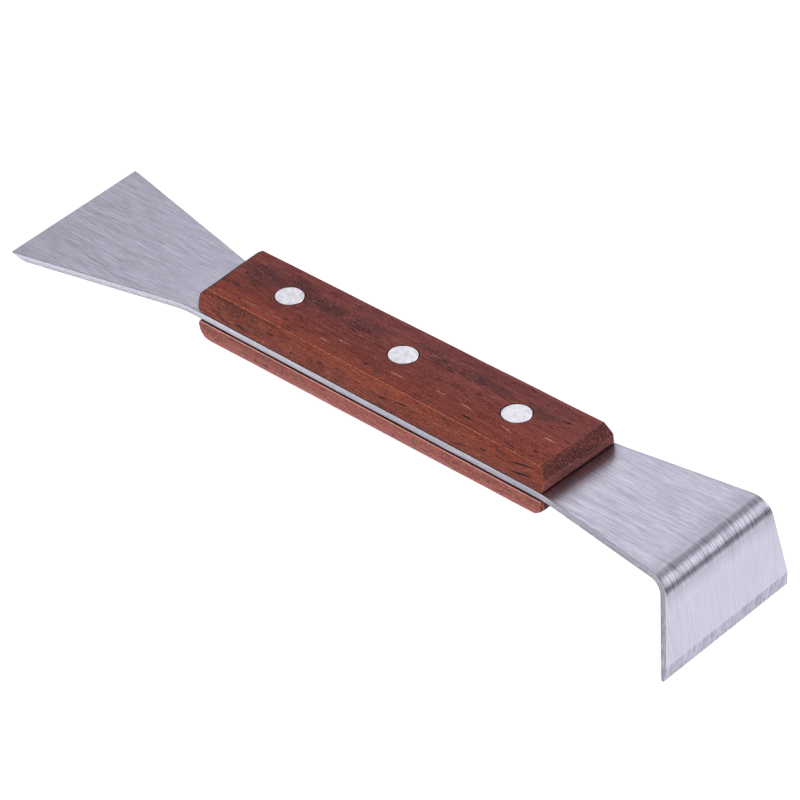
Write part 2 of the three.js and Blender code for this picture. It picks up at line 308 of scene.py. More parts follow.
def end_cap(around):
    """Faces that close the blade's first section: quads between its two rows, and one face for
    each rounded side. Around is how many points a section has."""
    below = around - 2 * EDGE_ARC - 1  # the point under the top row's first one
    quads = [(i, below - i, below - i - 1, i + 1) for i in range(BLADE_ROW)]
    far_side = tuple(range(BLADE_ROW + 2 * EDGE_ARC + 1, BLADE_ROW - 1, -1))
    near_side = (0, *range(around - 1, below - 1, -1))
    return [*quads, far_side, near_side]


def make_blade():
    stations = blade_stations()
    points, blank = [], []
    for along in stations:
        for y, height in blade_section(along):
            x, z = fold(along, height)
            points.append((x, y, z))
            blank.append((along, y, height))
    around = len(points) // len(stations)
    last = len(points) - around
    faces = [
        (a + i, a + around + i, a + around + (i + 1) % around, a + (i + 1) % around)
        for a in range(0, last, around)
        for i in range(around)
    ]
    cap = end_cap(around)
    faces += [face[::-1] for face in cap]
    faces += [tuple(last + i for i in face) for face in cap]
    piece = make_object("steel_blade", points, faces)
    add_blank_coordinates(piece, blank)
    for polygon in piece.data.polygons:
        along = sum(blank[v][0] for v in polygon.vertices) / len(polygon.vertices)
        polygon.material_index = blade_material(along, polygon.normal)
    steels = brushed_steel(), hook_steel(), ground_steel(), cut_steel()
    hand_in(piece, "blade", "brushed_steel", *steels)


def blade_material(along, normal):
    """Which steel a face shows, by its place on the blank and the way it faces."""
    if abs(normal.y) > CUT_FACING:
        return CUT_STEEL
    if along > HOOK_TIP - HOOK_BEVEL and hook_out.dot(normal) > BEVEL_FACING:
        return GROUND_STEEL
    return HOOK_STEEL if along > BEND_END else TOP_STEEL


def add_blank_coordinates(piece, blank):
    """Stores each point's place on the flat blank, as an attribute and as a UV map whose U
    runs across the brushing, the way in which brushed steel spreads its reflections."""
    mesh = piece.data
    attribute = mesh.attributes.new("blank", "FLOAT_VECTOR", "POINT")
    attribute.data.foreach_set("vector", [value for point in blank for value in point])
    uv_map = mesh.uv_layers.new(name="brushing")
    length = HOOK_TIP - SCRAPER_EDGE
    for loop in mesh.loops:
        along, y, _ = blank[loop.vertex_index]
        uv_map.data[loop.index].uv = (0.5 + y / length, (along - SCRAPER_EDGE) / length)


# ---- Scales ----

@dataclass
class Scale:
    """One wooden handle half. It is mapped from a rounded box by the outlines of its two ends,
    each a list of (height above the inner face, x) from the inner face to the outer."""

    node: str
    up: int  # 1 above the blade, -1 below it
    inner: float  # distance of its inner face from the blade's mid-plane
    left: list
    right: list
    radii_inner: Vector  # along, across and high, at the edges by the blade
    radii_outer: Vector
    side_slope: float

    @property
    def depth(self):
        return self.left[-1][0]


upper_low, upper_high = tool_box("upper_scale")
lower_low, lower_high = tool_box("lower_scale")
SCALE_TAPER = 0.4 * MM  # each scale is this much thicker at its left end, and thinner at its right
FAR_SKEW_LEFT = 0.5 * MM  # how much further out the far corner of the upper scale's ends stands
FAR_SKEW_RIGHT = 0.9 * MM
# The upper scale's hook end leans out up to its chamfer, which falls back further.
END_LEAN = 0.6 * MM
CHAMFER_HEIGHT = 4.1 * MM
CHAMFER_RUN = 1.8 * MM
FACET_BULGE = 0.45 * MM  # of the line between the two, at its far corner
LEFT_ROUNDING = 0.5 * MM  # each corner of an end's outline is rounded this far to both sides
RIGHT_ROUNDING = 0.35 * MM
# Hand-sanded faces are never quite flat: the ripples' depth and wavelength.
SIDE_RIPPLE = (0.07 * MM, 14 * MM)
FACE_RIPPLE = (0.04 * MM, 11 * MM)
END_RIPPLE = (0.08 * MM, 3 * MM)
SCALE_STEP = 0.7 * MM  # between the mesh's lines along and across
HEIGHT_STEP = 0.6 * SCALE_STEP
FACE_WOOD, SIDE_WOOD, END_WOOD = range(3)  # a scale's materials
END_FACING = 0.45  # a face shows end grain if it faces along the handle by more than this
SIDE_FACING = 0.7  # and side wood if it faces across by more than this


def upper_scale():
    left = upper_low.x + FAR_SKEW_LEFT
    right = upper_high.x - FAR_SKEW_RIGHT - END_LEAN
    depth = upper_high.z - SCALE_TAPER - upper_low.z
    return Scale(
        "upper_scale",
        up=1,
        inner=upper_low.z,
        left=[
            (0, left + 0.8 * MM),
            (0.8 * MM, left),
            (depth - 5.2 * MM, left),
            (depth - 2.3 * MM, left + 0.7 * MM),
            (depth, left + 4.0 * MM),
        ],
        right=[
            (0, right),
            (depth - CHAMFER_HEIGHT, right + END_LEAN),
            (depth, right + END_LEAN - CHAMFER_RUN),
        ],
        radii_inner=Vector((0.25, 0.2, 0.2)) * MM,
        radii_outer=Vector((0.25, 0.45, 0.35)) * MM,
        side_slope=0.22,
    )


def lower_scale():
    left = lower_low.x
    right = lower_high.x
    depth = lower_high.z - lower_low.z - SCALE_TAPER
    return Scale(
        "lower_scale",
        up=-1,
        inner=-lower_high.z,
        left=[
            (0, left + 1.2 * MM),
            (1.3 * MM, left),
            (3.6 * MM, left),
            (5.6 * MM, left + 1.0 * MM),
            (depth, left + 4.0 * MM),
        ],
        right=[
            (0, right),
            (3.4 * MM, right),
            (5.2 * MM, right - 1.6 * MM),
            (depth, right - 4.5 * MM),
        ],
        radii_inner=Vector((0.5, 0.7, 0.7)) * MM,
        radii_outer=Vector((1.2, 3.0, 3.0)) * MM,
        side_slope=0.0,
    )


def graded(length, step, low_radius, high_radius):
    """Places along an edge of a box, closer together where its two ends are rounded."""
    shares = (0, 0.27, 0.54, 0.78, 1)  # of the radius, at about even angles round the corner
    start = [low_radius * share for share in shares]
    end = [length - high_radius * share for share in reversed(shares)]
    count = max(1, round((end[0] - start[-1]) / step))
    return start[:-1] + even_steps(start[-1], end[0], count) + end[1:]


def round_box(place, size, radii_low, radii_high):
    """Moves a point of a box's surface onto the same box with rounded edges. Place and size
    are (along, across, high), and the radii change with height."""
    share = place[2] / size[2]
    inside, outward = [], []
    for axis in range(3):
        low = high = radii_low[axis] * (1 - share) + radii_high[axis] * share
        if axis == 2:
            low, high = radii_low[2], radii_high[2]
        core = min(max(place[axis], low), size[axis] - high)
        radius = high if place[axis] > size[axis] / 2 else low
        inside.append(core)
        outward.append((radius, (place[axis] - core) / radius))
    reach = math.sqrt(sum(part ** 2 for _, part in outward)) or 1
    return [core + radius * part / reach for core, (radius, part) in zip(inside, outward)]


def scale_point(scale, place, size):
    """Maps a point of the rounded box to the scale's real shape, with its slight waviness."""
    along, across, height = round_box(place, size, scale.radii_inner, scale.radii_outer)
    share = along / size[0]
    side = across / size[1] * 2 - 1
    height_share = height / size[2]
    left = on_rounded_line(scale.left, height, LEFT_ROUNDING)
    right = on_rounded_line(scale.right, height, RIGHT_ROUNDING)
    if scale.up > 0:
        far = smooth_step(-1, 1, side)
        left -= FAR_SKEW_LEFT * far
        right += FAR_SKEW_RIGHT * far
        facet = math.sin(math.pi * smooth_step(0.25, 1, height_share))
        right += FACET_BULGE * facet * far ** 2
    x = left + (right - left) * share
    handle_share = (x + HANDLE_HALF_LENGTH) / (2 * HANDLE_HALF_LENGTH)
    half_width = HALF_WIDTH_LEFT + (HALF_WIDTH_RIGHT - HALF_WIDTH_LEFT) * handle_share
    half_width *= 1 - scale.side_slope * height / MID_HALF_WIDTH
    taper = SCALE_TAPER * x / HANDLE_HALF_LENGTH * height_share
    point = Vector((x, side * half_width, scale.inner + height - taper))
    point.y += ripple(point, SIDE_RIPPLE, 2 + scale.up) * side
    point.z += ripple(point, FACE_RIPPLE, 8 + scale.up) * height_share
    point.x += ripple(point, END_RIPPLE, 4 + scale.up) * (2 * share - 1)
    point.y *= scale.up
    point.z *= scale.up
    return point


PALE_EDGE_SHARE = 0.4  # of an edge's rounding, on each side of its middle
PALE_EDGE_WIDTH = 0.2 * MM  # and at most this
FAINT_WEAR = 0.15


def edge_wear_and_highlight(scale, place, size, radii):
    """How pale a point of the box is made: wear on the upright corners and faint wear on the other
    edges of the outer face. On the near long edge of the upper scale's outer face it is a painted
    highlight over the wear."""
    along, across, high = [
        min(spot, length - spot) < min(radius * PALE_EDGE_SHARE, PALE_EDGE_WIDTH)
        for spot, length, radius in zip(place, size, radii)
    ]
    near = place[1] < size[1] / 2
    outer = place[2] > size[2] / 2
    if along and across:
        return 1.0
    if across and high and outer:
        # the near long edge of the upper scale's outer face: painted highlight over the wear
        return 1.0 if scale.up > 0 and near else FAINT_WEAR
    return FAINT_WEAR if along and high and outer else 0.0


def box_surface(counts):
    """The grid places on the surface of a box that is divided into so many steps along each
    axis, and the faces between them."""
    keys = [
        key
        for key in product(*(range(count + 1) for count in counts))
        if any(k in (0, count) for k, count in zip(key, counts))
    ]
    index = {key: i for i, key in enumerate(keys)}
    faces = []
    for axis in range(3):
        u, v = (axis + 1) % 3, (axis + 2) % 3
        for end in (0, counts[axis]):
            for i, j in product(range(counts[u]), range(counts[v])):
                corners = []
                for di, dj in ((0, 0), (1, 0), (1, 1), (0, 1)):
                    key = [0, 0, 0]
                    key[axis], key[u], key[v] = end, i + di, j + dj
                    corners.append(index[tuple(key)])
                faces.append(corners if end else corners[::-1])
    return keys, faces


def wood_material(normal):
    """Which wood a face of a scale shows, by the way it faces."""
    if abs(normal.x) > END_FACING:
        return END_WOOD
    return SIDE_WOOD if abs(normal.y) > SIDE_FACING else FACE_WOOD


def make_scale(scale, *woods):
    size = (2 * HANDLE_HALF_LENGTH, 2 * MID_HALF_WIDTH, scale.depth)
    largest = [max(pair) for pair in zip(scale.radii_inner, scale.radii_outer)]
    lines = [
        graded(size[0], SCALE_STEP, largest[0], largest[0]),
        graded(size[1], SCALE_STEP, largest[1], largest[1]),
        graded(size[2], HEIGHT_STEP, scale.radii_inner.z, scale.radii_outer.z),
    ]
    keys, faces = box_surface([len(line) - 1 for line in lines])
    places = [[line[k] for line, k in zip(lines, key)] for key in keys]
    points = [scale_point(scale, place, size) for place in places]
    wear_and_highlight = [edge_wear_and_highlight(scale, place, size, largest) for place in places]
    piece = make_object(scale.node + "_wood", points, faces)
    piece.data.attributes.new("wear_and_highlight", "FLOAT", "POINT").data.foreach_set("value", wear_and_highlight)
    cut_rivet_seats(piece, scale)
    for polygon in piece.data.polygons:
        polygon.material_index = wood_material(polygon.normal)
    hand_in(piece, scale.node, "rosewood", *woods)


SEAT_RADIUS = 4.26 * MM
SEAT_DEPTH = 1.5 * MM
SEAT_CLEARANCE = 3 * MM  # how far the cutter stands out of the wood
SEAT_SEGMENTS = 72
HEAD_LONG = 1.09  # of the round head's size
HEAD_SHORT = 0.95
HEAD_TURN = math.radians(9)  # of its long axis, from the handle's length
PLACES = ("scraper_end", "middle", "hook_end")


def rivet_axis(part, place):
    """The (x, y) of a rivet half's axis, and its lowest and highest z, in the tool's frame."""
    low, high = tool_box(f"rivet_{part}_{place}")
    return (low.x + high.x) / 2, (low.y + high.y) / 2, low.z, high.z


def oval(point, x, y):
    """Moves a point of a round head or seat about its axis at x, y. The heads were hammered and
    then sanded along the grain, and came out slightly oval."""
    turned = Matrix.Rotation(-HEAD_TURN, 2) @ Vector((point[0] - x, point[1] - y))
    stretched = Vector((turned.x * HEAD_LONG, turned.y * HEAD_SHORT))
    offset = Matrix.Rotation(HEAD_TURN, 2) @ stretched
    return Vector((x + offset.x, y + offset.y, point[2]))


def lathe(profile, x, y, segments, shape=None):
    """Points and faces of a closed turned solid, from (radius, z) between two axis points."""
    points = [(x, y, profile[0][1])]
    for radius, z in profile[1:-1]:
        for i in range(segments):
            angle = 2 * math.pi * i / segments
            point = Vector((x + radius * math.cos(angle), y + radius * math.sin(angle), z))
            points.append(shape(point, radius, angle) if shape else point)
    points.append((x, y, profile[-1][1]))
    rings = len(profile) - 2
    faces = []
    for i in range(segments):
        j = (i + 1) % segments
        faces.append((0, 1 + i, 1 + j))
        for ring in range(rings - 1):
            a = 1 + ring * segments
            faces.append((a + i, a + segments + i, a + segments + j, a + j))
        a = 1 + (rings - 1) * segments
        faces.append((a + i, len(points) - 1, a + j))
    return points, faces


def seat_cutter(scale):
    """An oval plug for each rivet head of a scale, all in one mesh."""
    points, faces = [], []
    part = "pin" if scale.up > 0 else "tube"
    for place in PLACES:
        x, y, low, high = rivet_axis(part, place)
        outer = high if scale.up > 0 else low
        ends = (outer - scale.up * SEAT_DEPTH, outer + scale.up * SEAT_CLEARANCE)
        bottom, top = sorted(ends)
        profile = [(0, bottom), (SEAT_RADIUS, bottom), (SEAT_RADIUS, top), (0, top)]
        plug_points, plug_faces = lathe(profile, x, y, SEAT_SEGMENTS)
        first = len(points)
        points += [oval(point, x, y) for point in plug_points]
        faces += [tuple(first + i for i in reversed(face)) for face in plug_faces]
    return make_object("seat_cutter", points, faces)


def cut_rivet_seats(piece, scale):
    """Cuts the seat of each rivet head into a scale's outer face."""
    cutter = seat_cutter(scale)
    modifier = piece.modifiers.new("seats", "BOOLEAN")
    modifier.operation = "DIFFERENCE"
    modifier.solver = "EXACT"
    modifier.object = cutter
    bpy.context.view_layer.update()
    cut = bpy.data.meshes.new_from_object(
        piece.evaluated_get(bpy.context.evaluated_depsgraph_get())
    )
    piece.modifiers.clear()
    piece.data = cut
    cut.set_sharp_from_angle(angle=math.radians(SHARP_DEGREES))
    bpy.data.objects.remove(cutter)


# ---- Rivets ----

HEAD_RADIUS = 4 * MM
HEAD_THICKNESS = 1.2 * MM
HEAD_EDGE = 0.12 * MM
HEAD_RINGS = 16
HEAD_SEGMENTS = 64
HAMMER_MARKS = (0.035 * MM, 1.3 * MM)  # depth and width
SMALL_MARKS = (0.012 * MM, 0.5 * MM)
SANDED_OFF = 0.03 * MM
RIM_FLAT = 0.12 * MM  # how far one side of the rim was hammered in
HEAD_SHARP_DEGREES = 50
ROUNDING_ERROR = 0.01 * MM  # by which a point of the head may seem to lie under it
TUBE_RADIUS = 2.6 * MM
BORE_RADIUS = 1.8 * MM
BORE_END = 6.4 * MM
PIN_RADIUS = 1.5 * MM


def rivet_profile(part, outer, end):
    """The (radius, z) outline of a rivet half that points up, from its head to its end."""
    inner = outer - HEAD_THICKNESS
    flat_radius = HEAD_RADIUS - HEAD_EDGE
    face = [(flat_radius * i / HEAD_RINGS, outer) for i in range(1, HEAD_RINGS + 1)]
    rim = [
        (flat_radius + HEAD_EDGE * math.cos(t), outer - HEAD_EDGE + HEAD_EDGE * math.sin(t))
        for t in map(math.radians, (75, 50, 25, 0))
    ]
    head = [(0, outer), *face, *rim, (HEAD_RADIUS, inner)]
    if part == "pin":
        return head + [(PIN_RADIUS, inner), (PIN_RADIUS, end), (0, end)]
    tube = [(TUBE_RADIUS, inner), (TUBE_RADIUS, end)]
    bore = [(BORE_RADIUS, end), (BORE_RADIUS, BORE_END), (0, BORE_END)]
    return head + tube + bore


def make_rivet_half(part, place, seed, metal):
    """A head hammered and sanded flush with the wood, and its shank or tube."""
    x, y, low, high = rivet_axis(part, place)
    up = 1 if part == "pin" else -1
    outer, end = (high, low) if up > 0 else (-low, -high)
    inner = outer - HEAD_THICKNESS

    def dent(point, radius, angle):
        on_face = smooth_step(inner, outer - HEAD_EDGE, point.z) if point.z > inner else 0
        marks = ripple(point, HAMMER_MARKS, seed) + ripple(point, SMALL_MARKS, seed + 3)
        point.z += (marks - SANDED_OFF) * on_face
        flat = smooth_step(0.55, 1, math.cos(angle - 0.9 * seed)) * RIM_FLAT
        reach = max(radius - flat * on_face * (radius / HEAD_RADIUS) ** 4, 0) / radius
        point.x = x + (point.x - x) * reach
        point.y = y + (point.y - y) * reach
        return oval(point, x, y) if point.z > inner - ROUNDING_ERROR else point

    points, faces = lathe(rivet_profile(part, outer, end), x, y, HEAD_SEGMENTS, dent)
    points = [(p[0], p[1], up * p[2]) for p in points]
    faces = faces if up > 0 else [face[::-1] for face in faces]
    piece = make_object(f"rivet_{part}_{place}_metal", points, faces, HEAD_SHARP_DEGREES)
    hand_in(piece, f"rivet_{part}_{place}", "rivet_aluminium", metal)


# ---- Material helpers ----

class Paint:
    """A procedural material: thin wrappers round its node tree and its Principled shader."""

    def __init__(self, name, **constants):
        self.material = bpy.data.materials.new(name)
        self.material.use_nodes = True
        self.tree = self.material.node_tree
        self.shader = self.tree.nodes["Principled BSDF"]
        for socket, value in constants.items():
            self.set(socket.replace("_", " "), value)

    def feed(self, socket, value):
        if isinstance(value, bpy.types.NodeSocket):
            self.tree.links.new(value, socket)
        else:
            socket.default_value = value

    def set(self, socket, value):
        """Feeds one of the shader's own inputs."""
        self.feed(self.shader.inputs[socket], value)

    def node(self, kind, inputs=(), **settings):
        """A new node, with its inputs fed by name or number."""
        node = self.tree.nodes.new("ShaderNode" + kind)
        for setting, value in settings.items():
            setattr(node, setting, value)
        for socket, value in dict(inputs).items():
            self.feed(node.inputs[socket], value)
        return node

    def place(self, attribute=None):
        """The point being shaded: in the tool's frame, or from a stored attribute."""
        if attribute:
            return self.node("Attribute", attribute_name=attribute).outputs["Vector"]
        row_place = self.node("TexCoord").outputs["Object"]
        return self.within(row_place, TOOL.to_translation(), TOOL.to_euler())

    def within(self, vector, location=(0, 0, 0), rotation=(0, 0, 0), scale=(1, 1, 1)):
        """A vector as it is in another frame, given by its place, its turn and its units."""
        frame = {"Location": location, "Rotation": rotation, "Scale": scale, "Vector": vector}
        return self.node("Mapping", frame, vector_type="TEXTURE").outputs["Vector"]

    def part(self, vector, axis):
        """One coordinate of a vector, by its letter."""
        return self.node("SeparateXYZ", {0: vector}).outputs[axis]

    def value(self, attribute):
        return self.node("Attribute", attribute_name=attribute).outputs["Fac"]

    def stretch(self, vector, scale, shift=(0, 0, 0)):
        inputs = {"Scale": scale, "Location": shift, "Vector": vector}
        return self.node("Mapping", inputs).outputs["Vector"]

    def noise(self, vector, per_metre, shift=(0, 0, 0), detail=3.0, roughness=0.55, output="Fac"):
        """Smooth noise with so many features per metre along each axis."""
        inputs = {
            "Vector": self.stretch(vector, per_metre, shift),
            "Scale": 1,
            "Detail": detail,
            "Roughness": roughness,
        }
        return self.node("TexNoise", inputs).outputs[output]

    def math(self, operation, first, second):
        node = self.node("Math", {0: first, 1: second}, operation=operation)
        return node.outputs["Value"]

    def vector_math(self, operation, first, second):
        node = self.node("VectorMath", {0: first, 1: second}, operation=operation)
        return node.outputs["Vector"]

    def length(self, vector):
        return self.node("VectorMath", {0: vector}, operation="LENGTH").outputs["Value"]

    def span(self, value, low, high, to_low=0.0, to_high=1.0):
        """Carries low..high to to_low..to_high, smoothly and clamped."""
        inputs = {
            "Value": value,
            "From Min": low,
            "From Max": high,
            "To Min": to_low,
            "To Max": to_high,
        }
        return self.node("MapRange", inputs, interpolation_type="SMOOTHSTEP").outputs["Result"]

    def window(self, value, rise, fall, most=1.0):
        """Rises from 0 to most over one (low, high) span of the value, and falls back over
        another."""
        rising = self.span(value, *rise, 0, most)
        return self.math("MULTIPLY", rising, self.span(value, *fall))

    def blend(self, share, first, second, kind="MIX"):
        inputs = {"Factor": share, "A": colour(first), "B": colour(second)}
        return self.node("Mix", inputs, data_type="RGBA", blend_type=kind).outputs["Result"]

    def tint(self, base, other, value, low, high, most=1.0):
        """Blends another colour over the base as a value goes from low to high."""
        return self.blend(self.span(value, low, high, 0, most), base, other)

    def warp(self, vector, amount, per_metre):
        """Moves a vector by smooth noise, up to about half the amount each way."""
        shift = self.noise(vector, per_metre, detail=1.5, roughness=0.5, output="Color")
        centred = self.vector_math("SUBTRACT", shift, (0.5, 0.5, 0.5))
        scaled = self.vector_math("MULTIPLY", centred, amount)
        return self.vector_math("ADD", vector, scaled)

    def bump(self, height, distance, strength=1.0):
        inputs = {"Distance": distance, "Strength": strength, "Height": height}
        self.set("Normal", self.node("Bump", inputs).outputs["Normal"])


def colour(value):
    """A linear colour with its alpha, or a socket as it is."""
    if isinstance(value, tuple) and len(value) == 3:
        return (*value, 1.0)
    return value


def srgb(red, green, blue):
    """A linear colour from the usual 0 to 255 values."""
    return tuple(
        part / 255 / 12.92 if part / 255 <= 0.04045 else ((part / 255 + 0.055) / 1.055) ** 2.4
        for part in (red, green, blue)
    )


# ---- Materials ----

BLACK = (0, 0, 0)

def brushed_steel(name="brushed_steel", contrast=1.5, tint=(205, 202, 219), grain=(1, 1, 1)):
    """Stainless steel brushed along the blade: fine streaks 5 to 15 mm long on a calm sheen.
    Grain is how fine the streaks are along the blade, across it and through it."""
    paint = Paint(name, Metallic=1.0, Anisotropic=0.75)
    blank = paint.place("blank")
    bent = paint.warp(blank, (0, 0.0006, 0), (30, 60, 60))
    bent = paint.stretch(bent, grain)
    bands = paint.noise(bent, (24, 700, 700), detail=2)
    hairs = paint.noise(bent, (120, 3200, 3200), detail=3, roughness=0.65)
    fine = paint.noise(bent, (230, 6000, 6000), detail=1)
    scratch = paint.noise(bent, (210, 3800, 3800), (3, 7, 1), detail=1)
    cloud = paint.noise(blank, (38, 60, 60), (5, 2, 0), detail=3)

    def tone(step):
        return srgb(*(part + step for part in tint))

    metal = paint.blend(
        paint.span(hairs, 0.32, 0.68), tone(-12 * contrast), tone(8 * contrast)
    )
    metal = paint.tint(metal, tone(24), fine, 0.4, 0.7, 0.42 * contrast)
    metal = paint.tint(metal, tone(-22), bands, 0.45, 0.75, 0.2 * contrast)
    metal = paint.tint(metal, tone(12), cloud, 0.35, 0.7, 0.25)
    metal = paint.tint(metal, tone(-58), scratch, 0.62, 0.74, 0.22 * contrast)
    metal = paint.tint(metal, tone(34), scratch, 0.35, 0.25, 0.35 * contrast)
    metal, strained = strain_and_shade(paint, blank, metal)
    paint.set("Base Color", metal)
    rough = paint.math("MULTIPLY", strained, 0.1)
    paint.set("Roughness", paint.math("ADD", paint.span(hairs, 0.25, 0.75, 0.38, 0.28), rough))
    tangent = paint.node("Tangent", direction_type="UV_MAP", uv_map="brushing")
    paint.set("Tangent", tangent.outputs["Tangent"])
    fine_ridges = paint.math("MULTIPLY", fine, 0.3)
    ridges = paint.math("ADD", paint.math("MULTIPLY", hairs, 0.7), fine_ridges)
    paint.bump(ridges, 0.00004 * contrast)
    return paint.material


def strain_and_shade(paint, blank, metal):
    """Darkens the steel. Round the bend it is painted shade, with darker streaks where the steel
    was stretched. Painted shade also lies on the blade by the handle's hook end, where the wood's
    shadow and dark reflection fall. Also says where the bend is."""
    along = paint.part(blank, "X")
    # painted shade: darkens the steel round the bend
    dull = paint.window(
        along,
        rise=(BEND_START - 6 * MM, BEND_START + 4 * MM),
        fall=(BEND_END + 5 * MM, BEND_END - 2 * MM),
        most=0.25,
    )
    strained = paint.window(
        along,
        rise=(BEND_START + 0.6 * MM, BEND_START + 2.6 * MM),
        fall=(BEND_END + 0.4 * MM, BEND_END - 2 * MM),
    )
    # painted shade: the upper scale's shadow and the dark reflection of its end, on the blade by
    # the handle's hook end
    painted_handle_shade = paint.window(
        along,
        rise=(0, HANDLE_HALF_LENGTH / 2),
        fall=(HANDLE_HALF_LENGTH + 5 * MM, HANDLE_HALF_LENGTH),
        most=0.36,
    )
    streaks = paint.noise(blank, (90, 4600, 4600), (9, 1, 4), detail=2)
    streaked = paint.math("MULTIPLY", strained, paint.span(streaks, 0.42, 0.58, -0.3, 0.6))
    for share in (dull, painted_handle_shade, streaked):
        metal = paint.blend(share, metal, BLACK)
    return metal, strained


def hook_steel():
    """The hook's two faces: the same brushing, worn almost smooth."""
    return brushed_steel("hook_steel", contrast=0.55, tint=(195, 192, 209))


def ground_steel():
    """The hook's bevel: coarser marks of the grinding wheel, straight up from the edge."""
    return brushed_steel("ground_steel", contrast=3.0, tint=(166, 163, 181), grain=(1, 0.5, 0.04))


def cut_steel():
    """The blade's sheared sides, speckled where they were cut. Painted shade darkens them towards
    the hook and downwards, and a painted highlight runs along the top."""
    paint = Paint("cut_steel", Metallic=1.0)
    blank = paint.place("blank")
    grains = paint.noise(blank, (1500, 2600, 2600), detail=3, roughness=0.7)
    strokes = paint.noise(blank, (160, 2400, 2400), (2, 5, 8), detail=2)
    along = paint.part(blank, "X")
    # painted shade: the sheared sides darker towards the hook
    metal = paint.tint(srgb(208, 206, 219), srgb(178, 175, 190), along, -90 * MM, 30 * MM)
    metal = paint.tint(metal, srgb(160, 158, 172), along, 40 * MM, 75 * MM)
    height = paint.part(blank, "Z")
    # painted shade: the sheared sides darker downwards
    metal = paint.tint(metal, srgb(126, 118, 128), height, 0.4 * MM, -1.0 * MM, 0.45)
    metal = paint.tint(metal, srgb(138, 136, 148), grains, 0.5, 0.7, 0.5)
    metal = paint.tint(metal, srgb(232, 230, 240), strokes, 0.55, 0.7, 0.45)
    # painted highlight along the top of the sheared sides
    metal = paint.tint(metal, srgb(246, 244, 250), height, 0.7 * MM, 0.95 * MM, 0.6)
    paint.set("Base Color", metal)
    paint.set("Roughness", paint.span(grains, 0.3, 0.7, 0.32, 0.5))
    paint.bump(paint.math("ADD", grains, strokes), 0.00005)
    return paint.material


def line(along_0, aside_0, along_1, aside_1, half_width=0.34, strength=1.0):
    """A thin straight mark between two points of a face, as one of the ovals that spots takes."""
    run, rise = along_1 - along_0, aside_1 - aside_0
    middle = ((along_0 + along_1) / 2, (aside_0 + aside_1) / 2)
    tilt = math.degrees(math.atan2(rise, run))
    return (*middle, math.hypot(run, rise) / 2, half_width, tilt, strength)


# Marks are (x, y or z, half length, half width, tilt in degrees, strength), in millimetres.
TOP_PATCHES = (
    (-53, 2.6, 9, 4.8, 0, 0.95),
    (-41, 5.6, 7, 2.6, 0, 0.7),
    (-30, 2.8, 12, 3.6, 0, 0.85),
    (-15, 2.8, 8, 3.4, 0, 0.7),
    (-11, 4.2, 5, 2.2, 0, 0.75),
    (8, 6.0, 7, 1.3, 0, 0.7),
    (14, 3.4, 7, 2.4, 0, 0.5),
    (25, 5.0, 7, 3.4, 0, 0.75),
    (35, 4.8, 6, 1.4, 0, 0.6),
    (50, 3.8, 6, 2.6, 0, 0.6),
    (2, -8.2, 3, 1.0, 0, 0.5),
    (-31, -9.4, 4, 0.8, 0, 0.35),
    (-6, -2.0, 62, 5.0, 0, 0.3),
)
TOP_CRACKS = (
    line(-58, -4.6, -54.6, -4.7),
    line(32, -8.4, 37, -8.7),
    line(57.8, -7.8, 59.6, -8.2),
    line(55.3, 5.2, 59.2, 5.8),
    line(-4.2, -8.1, -1.8, -8.1),
)
PALE_PORES = (
    line(4.2, -6.8, 10, -6.6, 0.17),
    line(-21.4, -7.4, -17.4, -7.6, 0.17),
    line(-51, -8.4, -44, -8.2, 0.15, 0.6),
    line(-39, -8.2, -34, -8.1, 0.15, 0.6),
    line(-18.4, -5.2, -12, -5.0, 0.15),
    line(19.6, -5.2, 24, -5.0, 0.15),
    line(28.6, -5.0, 34.2, -5.6, 0.15),
    line(43.4, -5.4, 48.8, -6.3, 0.16),
    line(56, -2.4, 61, -2.4, 0.16),
    line(32, 1.8, 36, 1.8, 0.14, 0.6),
    line(8.2, 5.4, 12.6, 5.3, 0.14, 0.6),
)
SIDE_PATCHES = (
    (-52, 7.8, 13, 3.2, 0, 0.95),
    (-40, 8.7, 8, 1.3, 0, 0.8),
    (-46, 4.4, 11, 2.2, 0, 0.5),
    (-36.5, 4.4, 4, 1.8, 0, 0.5),
    (-20, 4.0, 5, 2.0, 0, 0.4),
    (31, 7.8, 6, 1.6, 0, 0.35),
    (4, 2.0, 3, 0.9, 0, 0.6),
    (-36, 6.4, 28, 3.0, 0, 0.4),
)
SIDE_CRACKS = (
    line(-60.5, 3.7, -52, 1.9),
    line(-51, 3.3, -45.4, 2.7),
    line(-58.2, 5.6, -55.8, 5.1),
    line(-38, 5.7, -35.6, 5.6),
    line(4, 4.2, 9, 5.0, 0.26, 0.9),
    line(10.2, 5.2, 16.8, 5.9),
    line(42.0, 4.8, 45.0, 4.9),
    line(32.0, 2.3, 36.4, 3.2, 0.26, 0.8),
    line(47.6, 6.9, 50, 7.2, 0.26, 0.9),
    line(52, 5.4, 62.4, 7.4, 0.3),
    line(52.2, 3.1, 62, 4.4, 0.4),
)


def spots(paint, place, marks, across):
    """How deep each point is in any of the soft-edged oval marks. Across is the axis, 1 or 2,
    that a mark's second number is on."""
    share = None
    for along, aside, half_length, half_width, tilt, strength in marks:
        centre = Vector((along, 0, 0)) * MM
        size = Vector((half_length * MM, 1, 1))
        turn = Vector()
        centre[across] = aside * MM
        size[across] = half_width * MM
        turn[3 - across] = math.radians(tilt if across == 1 else -tilt)
        distance = paint.length(paint.within(place, centre, turn, size))
        spot = paint.span(distance, 1.25, 0.3, 0, strength)
        share = spot if share is None else paint.math("MAXIMUM", share, spot)
    return share


@dataclass
class Tones:
    """The colours of one side of the wood. Its red turns from one tone to another over a
    distance along y (across 1) or z (across 2)."""

    across: int
    reds: tuple
    turn: tuple
    dark: tuple
    light: tuple
    charcoal: tuple
    gloss: float


